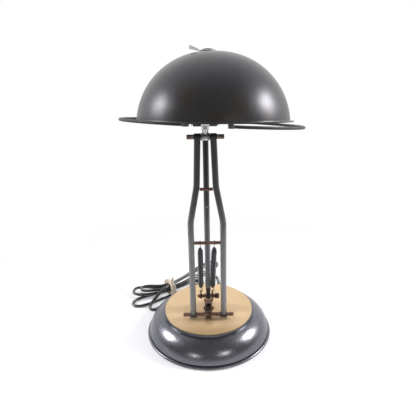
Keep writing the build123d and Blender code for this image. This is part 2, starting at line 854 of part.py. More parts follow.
# Lampholder under the crown, with the switch spindle through its nipple
shoulder_reach = holder_shoulder_radius - holder_offset
crown_under = crown_centre + sqrt((crown_arc_radius - shade_wall) ** 2 - shoulder_reach**2)
side_reach = shoulder_reach - side_arc_inset
side_under = sqrt((side_arc_radius - shade_wall) ** 2 - side_reach**2) - side_arc_drop
holder_top = min(crown_under, side_under) - seat_gap
holder_shoulder = holder_top - holder_shoulder_height
holder_bottom = holder_shoulder - holder_length
nipple_top = nut_seat + ring_nut_height
socket_top = holder_bottom + socket_depth
with BuildPart() as lampholder:
    with BuildSketch(section_of(holder_plane)):
        with BuildLine():
            Polyline(
                (0, socket_top),
                (socket_radius, socket_top),
                (socket_radius, holder_bottom),
                (holder_radius, holder_bottom),
                (holder_radius, holder_shoulder),
                (holder_shoulder_radius, holder_top),
                (nipple_radius, holder_top),
                (nipple_radius, nipple_top),
                (0, nipple_top),
                close=True,
            )
        make_face()
    revolve(axis=holder_axis)
    with BuildSketch(holder_plane.offset(nipple_top)):
        Circle(spindle_radius + spindle_gap)
    extrude(amount=-(nipple_top - holder_shoulder), mode=Mode.SUBTRACT)
write(lampholder, "lampholder")

with BuildPart() as shade_nut:
    with BuildSketch(holder_plane.offset(nut_seat)):
        Circle(ring_nut_radius)
        Circle(nipple_radius + seat_gap, mode=Mode.SUBTRACT)
    extrude(amount=ring_nut_height)
write(shade_nut, "shade_nut")

bulb_top = socket_top - side_gap
bulb_cap_length = bulb_top - holder_bottom
with BuildPart() as bulb_cap:
    with BuildSketch(holder_plane.offset(bulb_top - bulb_cap_length)):
        Circle(bulb_cap_radius)
    extrude(amount=bulb_cap_length)
write(bulb_cap, "bulb_cap")

glass_top = holder_bottom
glass_bottom = glass_top - bulb_length
with BuildPart() as bulb_glass:
    with BuildSketch(section_of(holder_plane)):
        with BuildLine():
            Polyline(
                (0, glass_bottom + bulb_radius),
                (0, glass_top),
                (bulb_cap_radius, glass_top),
                (bulb_radius, glass_top - bulb_cap_radius),
                (bulb_radius, glass_bottom + bulb_radius),
            )
            RadiusArc((bulb_radius, glass_bottom + bulb_radius), (0, glass_bottom), bulb_radius)
            Line((0, glass_bottom), (0, glass_bottom + bulb_radius))
        make_face()
    revolve(axis=holder_axis)
write(bulb_glass, "bulb_glass")

# Tilt yoke: two knuckles on the tilt bolt and a harp up to the lampholder
harp_top = holder_shoulder - harp_collar_drop
harp_wire_seat = holder_radius + harp_collar_wall / 2
neck_in_holder = holder_plane.to_local_coords(Vector(0, pivot_y, tilt_z))
lug_outside = link_eye_width / 2 + side_gap + lug_thickness
knuckle_inside = max(neck_radius, lug_outside) + side_gap
knuckle_middle = (knuckle_inside + knuckle_reach) / 2
with BuildPart() as tilt_yoke:
    with BuildSketch(holder_plane.offset(harp_top)):
        Circle(holder_radius + harp_collar_wall)
    extrude(amount=harp_collar_height)
    for side in (-1, 1):
        knuckle_start = knuckle_inside if side > 0 else -knuckle_reach
        with BuildSketch(across(pivot_y, tilt_z, knuckle_start)):
            Circle(knuckle_radius)
        extrude(amount=knuckle_reach - knuckle_inside)
        with BuildLine(section_of(holder_plane)) as harp_path:
            FilletPolyline(
                (neck_in_holder.X + side * knuckle_middle, 0),
                (neck_in_holder.X + side * knuckle_middle, knuckle_radius + harp_wire_radius),
                (side * harp_spread, knuckle_radius + knuckle_reach),
                (side * harp_spread, harp_top - knuckle_reach),
                (side * harp_wire_seat, harp_top + harp_collar_height / 2),
                radius=knuckle_radius,
            )
        with BuildSketch(Plane(harp_path.line @ 0, z_dir=harp_path.line % 0)):
            Circle(harp_wire_radius)
        sweep(path=harp_path.line)
    with BuildSketch(holder_plane.offset(harp_top - overrun)):
        Circle(holder_radius + seat_gap)
    extrude(amount=harp_collar_height + 2 * overrun, mode=Mode.SUBTRACT)
    with BuildSketch(across(pivot_y, tilt_z, -knuckle_reach - overrun)):
        Circle(tilt_bolt_radius + running_gap)
    extrude(amount=2 * knuckle_reach + 2 * overrun, mode=Mode.SUBTRACT)
write(tilt_yoke, "tilt_yoke")

# Switch: a lever ring round the nut, under a cap on the spindle
ring_seat = nut_seat + side_gap
cap_seat = max(ring_seat + lever_ring_height, nipple_top + side_gap)
spindle_top = cap_seat + cap_height / 2
with BuildPart() as switch_spindle:
    with BuildSketch(holder_plane.offset(holder_shoulder + side_gap)):
        Circle(spindle_radius)
    extrude(amount=spindle_top - holder_shoulder - side_gap)
write(switch_spindle, "switch_spindle")

slope = radians(lever_slope)
lever_start = lever_ring_radius - lever_sheet
lever_rise = (lever_length - lever_start) * tan(slope)
lever_lift = lever_sheet / cos(slope)
with BuildPart() as switch_lever:
    with BuildSketch(holder_plane.offset(ring_seat)):
        Circle(lever_ring_radius)
        Circle(ring_nut_radius + lever_ring_gap, mode=Mode.SUBTRACT)
    extrude(amount=cap_seat - ring_seat)
    with BuildSketch(section_of(holder_plane)):
        with BuildLine():
            Polyline(
                (-lever_start, ring_seat),
                (-lever_length, ring_seat + lever_rise),
                (-lever_length, ring_seat + lever_rise + lever_lift),
                (-lever_start, ring_seat + lever_lift),
                close=True,
            )
        make_face()
    extrude(amount=lever_width / 2, both=True)
    for flange_y in (-lever_width / 2, lever_width / 2 - lever_sheet):
        with BuildSketch(section_of(holder_plane).offset(flange_y)):
            with BuildLine():
                Polyline(
                    (-lever_ring_radius - lever_sheet, ring_seat + lever_lift),
                    (-lever_length, ring_seat + lever_rise),
                    (-lever_length, ring_seat + lever_rise + lever_flange),
                    (-cap_radius - lever_sheet, ring_seat + lever_lift + lever_root_flange),
                    close=True,
                )
            make_face()
        extrude(amount=lever_sheet)
write(switch_lever, "switch_lever")

cap_arc_radius = (cap_radius**2 + cap_height**2) / (2 * cap_height)
with BuildPart() as shade_cap:
    with BuildSketch(section_of(holder_plane)):
        with BuildLine():
            Polyline((0, cap_seat + cap_height), (0, cap_seat), (cap_radius, cap_seat))
            RadiusArc((cap_radius, cap_seat), (0, cap_seat + cap_height), -cap_arc_radius)
        make_face()
    revolve(axis=holder_axis)
    with BuildSketch(holder_plane.offset(cap_seat)):
        Circle(spindle_radius + seat_gap)
    extrude(amount=spindle_top - cap_seat + seat_gap, mode=Mode.SUBTRACT)
write(shade_cap, "shade_cap")

# Grab ring: a wire hoop round the rim, open at the front, with its ends turned in to clips under the lip
ring_radius = shade_radius + lip_width + ring_stand
roll = radians(ring_roll)
pitch = radians(ring_pitch)
ring_origin = shade_plane.from_local_coords((ring_shift, 0, -ring_drop))
ring_x_way = shade_plane.x_dir * cos(roll) - shade_plane.z_dir * sin(roll)
ring_z_level = shade_plane.z_dir * cos(roll) + shade_plane.x_dir * sin(roll)
ring_z_way = ring_z_level * cos(pitch) + shade_plane.y_dir * sin(pitch)
ring_plane = Plane(ring_origin, x_dir=ring_x_way, z_dir=ring_z_way)
ring_centre_x = shade_offset + ring_shift
left_angle = degrees(asin((ring_gap_left + ring_centre_x + ring_end_bend) / ring_radius))
right_angle = degrees(asin((ring_gap_right - ring_centre_x + ring_end_bend) / ring_radius))
end_run = ring_stand - ring_end_bend - side_gap
with BuildPart() as grab_ring:
    with BuildLine(ring_plane) as ring_path:
        hoop = CenterArc((0, 0), ring_radius, -90 + right_angle, 360 - left_angle - right_angle)
        first_bend = JernArc(hoop @ 0, (hoop % 0) * -1, ring_end_bend, -90)
        first_end = Line(first_bend @ 1, (first_bend @ 1) + (first_bend % 1) * end_run)
        last_bend = JernArc(hoop @ 1, hoop % 1, ring_end_bend, 90)
        last_end = Line(last_bend @ 1, (last_bend @ 1) + (last_bend % 1) * end_run)
    ring_wire = Wire(ring_path.edges())
    with BuildSketch(Plane(ring_wire @ 0, z_dir=ring_wire % 0)):
        Circle(ring_wire_radius)
    sweep(path=ring_wire)
write(grab_ring, "grab_ring")

with BuildPart() as ring_clips:
    for ring_end in (first_end, last_end):
        tip = shade_plane.to_local_coords(ring_end @ 1)
        inward = shade_plane.to_local_coords(ring_end @ 1) - shade_plane.to_local_coords(ring_end @ 0)
        turn = atan2(-inward.Y, -inward.X)
        tip_reach = tip.X * cos(turn) + tip.Y * sin(turn)
        tip_aside = tip.Y * cos(turn) - tip.X * sin(turn)
        clip_way = shade_plane.from_local_coords((cos(turn), sin(turn), 0)) - shade_plane.origin
        clip_side = shade_plane.from_local_coords((-sin(turn), cos(turn), 0)) - shade_plane.origin
        clip_plane = Plane(shade_plane.origin + clip_side * tip_aside, x_dir=clip_way, z_dir=-clip_side)
        saddle_top = min(tip.Z, -shade_wall)
        clip_bottom = tip.Z - ring_wire_radius - clip_floor
        with BuildSketch(clip_plane):
            with BuildLine():
                Polyline(
                    (tip_reach - lip_width, -shade_wall),
                    (tip_reach, -shade_wall),
                    (tip_reach, saddle_top),
                    (tip_reach + clip_grip, saddle_top),
                    (tip_reach + clip_grip, clip_bottom),
                    (tip_reach - lip_width, clip_bottom),
                    close=True,
                )
            make_face()
        extrude(amount=clip_width / 2, both=True)
    add(grab_ring.part, mode=Mode.SUBTRACT)
write(ring_clips, "ring_clips")


# Cord: a free stretch from the gland in the base's back, then a tied hank that ends in the plug
def cord_radii(points):
    """A radius for each corner: as large as the shorter of its two runs allows."""
    radii = []
    for before, corner, after in zip(points, points[1:], points[2:]):
        turn = radians((corner - before).get_angle(after - corner))
        shorter = min((corner - before).length, (after - corner).length)
        radii.append(run_share * shorter / tan(turn / 2))
    return radii


def cord_tube(points, name):
    radii = cord_radii(points)
    with BuildPart() as tube:
        with BuildLine() as route:
            FilletPolyline(*points, radius=radii)
        path = route.wire()
        with BuildSketch(Plane(path @ 0, z_dir=path % 0)):
            RegularPolygon(radius=cord_radius, side_count=cord_sides)
        sweep(path=path)
    section = cord_sides * cord_radius**2 * sin(2 * pi / cord_sides) / 2
    samples = [path @ (step / cord_samples) for step in range(cord_samples + 1)]
    apart = int(cord_samples * fold_length / path.length) + 1
    print(name, "radii", [round(radius, 1) for radius in radii])
    print(name, "length", round(path.length, 1))
    print(name, "volume over section times length", round(tube.part.volume / (section * path.length), 4))
    print(name, "least gap to itself", round(least_gap(samples, cord_radius, apart), 2))
    write(tube, name)


gland_tip = sqrt(body_bottom_radius**2 - gland_x**2) + gland_length
gland_root = gland_tip - gland_length - gland_stem_length
with BuildPart() as cord_gland:
    with BuildSketch(section_of(gland_plane)):
        with BuildLine():
            Polyline(
                (0, gland_root),
                (gland_radius, gland_root),
                (gland_radius, gland_tip - gland_length + gland_radius / 2),
                (gland_tip_radius, gland_tip),
                (0, gland_tip),
                close=True,
            )
        make_face()
    revolve(axis=Axis(gland_plane.origin, gland_plane.z_dir))
    add(base_form.part, mode=Mode.SUBTRACT)
    with BuildSketch(gland_plane.offset(gland_root)):
        Circle(gland_stem_radius)
    extrude(amount=gland_stem_length)
write(cord_gland, "cord_gland")

# Free stretch, and the hank's lobes: angle, reach and width, the strand's place at the tie before the lobe
# (across the bundle, and its layer), the layers of the lobe's two corners, and its first run's level share
cord_floor = cord_radius + cord_lift
lead_route = [
    Vector(gland_x, gland_tip, gland_height),
    Vector(gland_x, 163, gland_height),
    Vector(24, 178, 7.5),
    Vector(21, 194, cord_floor),
    Vector(11, 208, cord_floor),
    Vector(-8, 213, cord_floor),
    Vector(-32, 204, cord_floor),
]
tie_place = Vector(tie_x, tie_y, 0)
bundle_angle = radians(33)
hank_lobes = (
    (205, 92, 38, 13.5, 0, 0, 0, 0),
    (38, 80, 26, -6, 0, 0, 0, 0),
    (178, 87, 43, 4.2, 1, 1, 1, 0),
    (50, 160, 44, -4.2, 1, 1, 1, 0),
    (179, 69, 26, 4.2, 2, 2, 2, 0),
    (46, 130, 24, -4.2, 2, 2, 2, 0),
    (234, 72, 22, 1, 3, 0, 0, 0.36),
)
tail_route = [
    Vector(-95, 97, cord_floor),
    Vector(-76, 112.3, cord_floor),
    Vector(-63.5, 126, 6.5),
    Vector(-50, 130, plug_height / 2 + cord_lift),
]
bundle_way = Vector(cos(bundle_angle), sin(bundle_angle), 0)
across_way = Vector(-sin(bundle_angle), cos(bundle_angle), 0)
hank_route = []
for angle, reach, width, offset_across, layer, first_layer, second_layer, level_share in hank_lobes:
    waist = tie_place + across_way * offset_across + Vector(0, 0, cord_floor + tie_lift + layer * layer_step)
    way = Vector(cos(radians(angle)), sin(radians(angle)), 0)
    aside = Vector(way.Y, -way.X, 0)
    lobe_end = tie_place + way * reach
    first = lobe_end + aside * (width / 2) + Vector(0, 0, cord_floor + first_layer * layer_step)
    second = lobe_end - aside * (width / 2) + Vector(0, 0, cord_floor + second_layer * layer_step)
    hank_route.append(waist)
    if level_share:
        over = waist + (first - waist) * level_share
        hank_route.append(Vector(over.X, over.Y, waist.Z))
    hank_route += [first, second]
hank_start = lead_route[-1] + (hank_route[0] - lead_route[-1]) * lead_end_share
hank_route = [hank_start] + hank_route + tail_route
cord_tube(lead_route + [hank_start], "cord_lead")
cord_tube(hank_route, "cord_hank")

tie_plane = Plane(tie_place + across_way * tie_aside, x_dir=across_way, z_dir=bundle_way)
with BuildPart() as hank_tie:
    with BuildSketch(tie_plane.offset(-tie_width / 2)):
        with Locations((0, cord_lift)):
            RectangleRounded(tie_span + 2 * tie_wall, tie_height + 2 * tie_wall, tie_round,
                             align=(Align.CENTER, Align.MIN))
        with Locations((0, cord_lift + tie_wall)):
            RectangleRounded(tie_span, tie_height, tie_round - tie_wall,
                             align=(Align.CENTER, Align.MIN), mode=Mode.SUBTRACT)
    extrude(amount=tie_width)
write(hank_tie, "hank_tie")

plug_way = hank_route[-1] - hank_route[-2]
plug_plane = Plane(hank_route[-1], x_dir=(plug_way.Y, -plug_way.X, 0), z_dir=plug_way)
with BuildPart() as plug_body:
    with BuildSketch(plug_plane):
        Circle(cord_radius + plug_round / 2)
    with BuildSketch(plug_plane.offset(plug_relief)):
        Circle(plug_height / 2 - plug_round)
    loft()
    with BuildSketch(plug_plane.offset(plug_relief)):
        RectangleRounded(plug_width, plug_height, plug_round)
    extrude(amount=plug_length)
    plug_face = plug_body.faces().sort_by(Axis(plug_plane.origin, plug_plane.z_dir))[-1]
    fillet(plug_face.edges(), radius=plug_round / 2)
write(plug_body, "plug_body")

with BuildPart() as plug_prongs:
    for side in (-1, 1):
        with BuildSketch(plug_plane.offset(plug_relief + plug_length)):
            with Locations((side * prong_pitch / 2, 0)):
                Rectangle(prong_thickness, prong_width)
        extrude(amount=prong_length)
write(plug_prongs, "plug_prongs")
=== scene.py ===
from math import pi, radians

import bpy
import numpy as np
from mathutils import Matrix, Vector


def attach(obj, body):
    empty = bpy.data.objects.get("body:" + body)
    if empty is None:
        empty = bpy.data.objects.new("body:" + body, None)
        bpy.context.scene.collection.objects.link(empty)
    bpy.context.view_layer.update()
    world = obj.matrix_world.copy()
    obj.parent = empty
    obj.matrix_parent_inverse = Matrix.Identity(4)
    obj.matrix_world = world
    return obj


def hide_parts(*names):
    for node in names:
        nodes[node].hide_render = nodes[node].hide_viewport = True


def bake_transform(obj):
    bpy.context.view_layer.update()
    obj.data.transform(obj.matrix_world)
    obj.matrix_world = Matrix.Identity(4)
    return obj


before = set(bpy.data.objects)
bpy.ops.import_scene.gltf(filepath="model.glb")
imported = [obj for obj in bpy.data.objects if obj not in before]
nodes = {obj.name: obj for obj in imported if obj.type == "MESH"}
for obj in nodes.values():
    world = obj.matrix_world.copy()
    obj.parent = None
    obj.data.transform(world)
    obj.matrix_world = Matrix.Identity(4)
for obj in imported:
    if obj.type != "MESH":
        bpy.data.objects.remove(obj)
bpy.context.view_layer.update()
mm = 0.001
white = (1, 1, 1, 1)

# Shader nodes

noiseSpan = (0.3, 0.7)  # most values of a noise lie between these
noiseDetail = {"cloud": 5.0, "grain": 3.0, "patch": 3.0, "brass": 4.0, "fibre": 4.0}
mixEntries = (6, 7)  # a Mix node's two colours
mixResult = 2


# the sources are output sockets, joined to the first inputs in turn
def newNode(tree, kind, *sources):
    node = tree.nodes.new("ShaderNode" + kind)
    for entry, source in enumerate(sources):
        tree.links.new(source, node.inputs[entry])
    return node


def setInputs(node, values):
    for entry, value in values.items():
        node.inputs[entry].default_value = value


def rangeNode(tree, source, span, values, smooth=False):
    node = newNode(tree, "MapRange", source)
    setInputs(node, {"From Min": span[0], "From Max": span[1], "To Min": values[0], "To Max": values[1]})
    if smooth:
        node.interpolation_type = "SMOOTHSTEP"
    return node.outputs["Result"]


def mathNode(tree, operation, first, second):
    node = newNode(tree, "Math", first, second)
    node.operation = operation
    return node.outputs["Value"]


def objectCoords(tree):
    return newNode(tree, "TexCoord").outputs["Object"]


def axisOf(tree, coords, axis):
    return newNode(tree, "SeparateXYZ", coords).outputs[axis]


def axisNode(tree, axis, span, values):
    return rangeNode(tree, axisOf(tree, objectCoords(tree), axis), span, values, smooth=True)


def spotNode(tree, middle, span, values):
    away = newNode(tree, "VectorMath", objectCoords(tree))
    away.operation = "DISTANCE"
    away.inputs[1].default_value = middle
    return rangeNode(tree, away.outputs["Value"], span, values, smooth=True)


def noiseNode(tree, scale, detail, stretch=(1, 1, 1)):
    mapping = newNode(tree, "Mapping", objectCoords(tree))
    setInputs(mapping, {"Scale": stretch})
    noise = newNode(tree, "TexNoise", mapping.outputs["Vector"])
    setInputs(noise, {"Scale": scale, "Detail": noiseDetail[detail]})
    return noise.outputs["Fac"]


def toneRamp(tree, source, tones):
    node = newNode(tree, "ValToRGB", source)
    stops = node.color_ramp.elements
    while len(stops) < len(tones):
        stops.new(0.5)
    for stop, place, tone in zip(stops, np.linspace(*noiseSpan, len(tones)), tones):
        stop.position = place
        stop.color = (*tone, 1)
    return node.outputs["Color"]


# a tuple is a plain colour, anything else is a socket
def mixNode(tree, share, first, second):
    node = newNode(tree, "Mix", share)
    node.data_type = "RGBA"
    for entry, source in zip(mixEntries, (first, second)):
        if isinstance(source, tuple):
            node.inputs[entry].default_value = (*source, 1)
        else:
            tree.links.new(source, node.inputs[entry])
    return node.outputs[mixResult]


def bumpNode(tree, source, depth):
    node = newNode(tree, "Bump")
    setInputs(node, {"Strength": 1.0, "Distance": depth})
    tree.links.new(source, node.inputs["Height"])
    return node.outputs["Normal"]


# Camera and light

view = {
    "place": (0.0025, -0.992, 0.768),
    "pitch": 26.0,  # degrees below level
    "roll": 1.0,  # uprights lean to the left
    "lens": 50.6,
    "sensor": 36,
}
light = {
    "ambient": 0.42,
    "room": (0.18, 1.3),  # what gloss sees in front of the lamp and behind it
    "roomSpan": (-0.2, 0.93),  # y of the directions between which it runs from one to the other
}
sideBox = {"target": (0, 0, 0), "size": (0.46, 0.50), "colour": (1, 0.99, 1), "inGloss": True}
frontBox = {"target": (0, 0, 0.04), "size": (0.34, 0.34), "colour": (1, 0.97, 0.9), "inGloss": True}
topBox = {"target": (0, -0.1, 0), "size": (3.2, 3.2), "colour": (1, 1, 1), "inGloss": False}
softboxes = {  # spread in degrees
    "sideLeft": {"place": (-1.42, 0.12, 0.95), "spread": 50, "power": 1.75, **sideBox},
    "sideRight": {"place": (1.42, 0.12, 0.97), "spread": 54, "power": 2.7, **sideBox},
    "frontLeft": {"place": (-0.99, -2.0, 0.60), "spread": 26, "power": 0.10, **frontBox},
    "frontRight": {"place": (1.04, -1.87, 0.86), "spread": 26, "power": 0.14, **frontBox},
    "top": {"place": (0, -0.25, 2.3), "spread": 180, "power": 20.5, **topBox},
}
floorPaper = {
    "reach": 6.0,
    "colour": (0.85, 0.845, 0.885),
    "glow": (0.3, 1.0),  # white share of the paper by the lamp and far from it
    "glowSpan": (0.18, 0.6),
    "frontSpan": (-0.55, -0.10),  # for gloss the paper ends here, towards the camera
    "dark": 0.28,
}


def makeCamera():
    camera = bpy.data.objects.new("camera", bpy.data.cameras.new("camera"))
    camera.data.lens = view["lens"]
    camera.data.sensor_width = view["sensor"]
    turn = Matrix.Rotation(radians(90 - view["pitch"]), 4, "X")
    roll = Matrix.Rotation(-radians(view["roll"]), 4, "Z")
    camera.matrix_world = Matrix.Translation(view["place"]) @ turn @ roll
    bpy.context.scene.collection.objects.link(camera)
    bpy.context.scene.camera = camera


# the camera sees white, gloss sees a dim room and a white backdrop, and the rest is soft light
def makeWorld():
    world = bpy.data.worlds.new("studio")
    bpy.context.scene.world = world
    world.use_nodes = True
    tree = world.node_tree
    tree.nodes.clear()
    rays = newNode(tree, "LightPath")
    way = newNode(tree, "TexCoord").outputs["Generated"]
    room = newNode(tree, "Background")
    soft = newNode(tree, "Background")
    backdrop = newNode(tree, "Background")
    for lit in (room, soft, backdrop):
        setInputs(lit, {"Color": white})
    setInputs(soft, {"Strength": light["ambient"]})
    dimming = rangeNode(tree, axisOf(tree, way, "Y"), light["roomSpan"], light["room"])
    tree.links.new(dimming, room.inputs["Strength"])
    reflect = newNode(tree, "MixShader", rays.outputs["Is Glossy Ray"], soft.outputs[0], room.outputs[0])
    seen = newNode(tree, "MixShader", rays.outputs["Is Camera Ray"], reflect.outputs[0], backdrop.outputs[0])
    newNode(tree, "OutputWorld", seen.outputs[0])


def makeSoftbox(name, box):
    data = bpy.data.lights.new(name, "AREA")
    data.shape = "RECTANGLE"
    data.size, data.size_y = box["size"]
    data.spread = radians(box["spread"])
    data.energy = box["power"]
    data.color = box["colour"]
    lamp = bpy.data.objects.new(name, data)
    aim = (Vector(box["target"]) - Vector(box["place"])).to_track_quat("-Z", "Y")
    lamp.matrix_world = Matrix.Translation(box["place"]) @ aim.to_matrix().to_4x4()
    lamp.visible_glossy = box["inGloss"]
    bpy.context.scene.collection.objects.link(lamp)


# white paper that shows shadows by the lamp and runs out into white
def makeFloor():
    reach = floorPaper["reach"]
    mesh = bpy.data.meshes.new("floor")
    corners = [(-reach, -reach, 0), (reach, -reach, 0), (reach, reach, 0), (-reach, reach, 0)]
    mesh.from_pydata(corners, [], [(0, 1, 2, 3)])
    floor = bpy.data.objects.new("floor", mesh)
    bpy.context.scene.collection.objects.link(floor)
    paper = bpy.data.materials.new("floorPaper")
    paper.use_nodes = True
    tree = paper.node_tree
    tree.nodes.clear()
    rays = newNode(tree, "LightPath")
    coords = objectCoords(tree)
    away = newNode(tree, "VectorMath", coords)
    away.operation = "LENGTH"
    fade = rangeNode(tree, away.outputs["Value"], floorPaper["glowSpan"], floorPaper["glow"], smooth=True)
    front = rangeNode(tree, axisOf(tree, coords, "Y"), floorPaper["frontSpan"], (0, 1))
    gloss = mathNode(tree, "MULTIPLY", rays.outputs["Is Glossy Ray"], front)
    ends = mathNode(tree, "SUBTRACT", rays.outputs["Is Glossy Ray"], gloss)
    seen = mathNode(tree, "MAXIMUM", rays.outputs["Is Camera Ray"], gloss)
    share = mathNode(tree, "MULTIPLY", seen, fade)
    matt = newNode(tree, "BsdfDiffuse")
    glow = newNode(tree, "Emission")
    dark = newNode(tree, "Emission")
    setInputs(matt, {"Color": (*floorPaper["colour"], 1)})
    setInputs(glow, {"Color": white})
    setInputs(dark, {"Strength": floorPaper["dark"]})
    lit = newNode(tree, "MixShader", share, matt.outputs[0], glow.outputs[0])
    whole = newNode(tree, "MixShader", ends, lit.outputs[0], dark.outputs[0])
    newNode(tree, "OutputMaterial", whole.outputs[0])
    mesh.materials.append(paper)


makeCamera()
makeWorld()
makeFloor()
for name, box in softboxes.items():
    makeSoftbox(name, box)
bpy.context.scene.view_settings.view_transform = "Standard"
print("camera, light and floor are set")

# Patina and painted light and shade, laid over a finish's clouded colour

patina = {
    "brown": (0.105, 0.076, 0.050),
    "scale": 40.0,
    "span": (0.40, 0.62),
    "share": (0.15, 0.6),
    "core": 0.004,
    # middle and reach of each patch
    "spots": [((-0.023, -0.140, 0.535), 0.030), ((0.046, -0.142, 0.524), 0.034),
              ((0.020, -0.152, 0.503), 0.026)],
}
# painted shade on the arm and link tubes, growing towards the top under the lamp's shade
paintedTubeShade = {"up": (0.20, 0.34), "share": (0, 0.76), "dark": (0.022, 0.022, 0.024)}
# painted light on the bracket: a paler shaded foot and a bright lit top of the web
paintedBracketLight = {
    "up": (0.064, 0.076),
    "back": (0.002, 0.012),
    "web": ((0.34, 0.24, 0.17), (0.98, 0.72, 0.52)),  # low and high
    "foot": (0.36, 0.26, 0.19),
}
# painted light on the rear bolt between the bracket's cheeks
paintedBoltLight = {
    "back": (0.0, 0.004),
    "left": (-0.0072, -0.0068),
    "right": (0.0068, 0.0072),
    "inner": ((0.26, 0.19, 0.14), (0.98, 0.68, 0.46)),  # front and back
}
# painted reflections on the brass plate: dark along the front edge, brown under the bracket's nose
paintedPlateReflections = {
    "front": (-0.085, -0.04),
    "frontShare": (0.85, 0),
    "reflectedDark": (0.31, 0.21, 0.10),
    "bracketReflectionMiddle": (0, -0.05, 0.0565),
    "bracketReflectionSpan": (0.002, 0.016),
    "bracketReflectionShare": (0.6, 0),
    "bracketReflection": (0.30, 0.19, 0.07),
}


# brown patina in patches low on the front of the shade
def wornShade(tree, colour):
    share = rangeNode(tree, noiseNode(tree, patina["scale"], "patch"), patina["span"], patina["share"])
    brown = mixNode(tree, share, colour, patina["brown"])
    for middle, reach in patina["spots"]:
        near = spotNode(tree, middle, (patina["core"], reach), (1, 0))
        colour = mixNode(tree, near, colour, brown)
    return colour


# painted shade: tubes darken towards the top, under the lamp's shade, which shadows them
def paintTubeShade(tree, colour):
    return mixNode(tree, axisNode(tree, "Z", paintedTubeShade["up"], paintedTubeShade["share"]), colour, paintedTubeShade["dark"])


# painted light: the bracket is painted paler low down, where its channel lies in shade, and the top of its
# web, which catches the light, is painted bright
def paintBracketLight(tree, colour):
    up = axisNode(tree, "Z", paintedBracketLight["up"], (0, 1))
    back = axisNode(tree, "Y", paintedBracketLight["back"], (0, 1))
    web = mixNode(tree, up, *paintedBracketLight["web"])
    return mixNode(tree, back, mixNode(tree, up, paintedBracketLight["foot"], colour), web)


# painted light: between the cheeks the back of the rear bolt is painted bright like the lit web behind it
def paintBoltLight(tree, colour):
    back = axisNode(tree, "Y", paintedBoltLight["back"], (0, 1))
    left = axisNode(tree, "X", paintedBoltLight["left"], (0, 1))
    right = axisNode(tree, "X", paintedBoltLight["right"], (1, 0))
    inner = mixNode(tree, back, *paintedBoltLight["inner"])
    return mixNode(tree, left, colour, mixNode(tree, right, colour, inner))


# painted reflections on the brass: a darker front edge, and the brown of the bracket under its nose
def paintPlateReflections(tree, colour):
    front = axisNode(tree, "Y", paintedPlateReflections["front"], paintedPlateReflections["frontShare"])
    reflectedDark = mixNode(tree, front, colour, paintedPlateReflections["reflectedDark"])
    bracketReflection = spotNode(tree, paintedPlateReflections["bracketReflectionMiddle"], paintedPlateReflections["bracketReflectionSpan"], paintedPlateReflections["bracketReflectionShare"])
    return mixNode(tree, bracketReflection, reflectedDark, paintedPlateReflections["bracketReflection"])


# Finishes

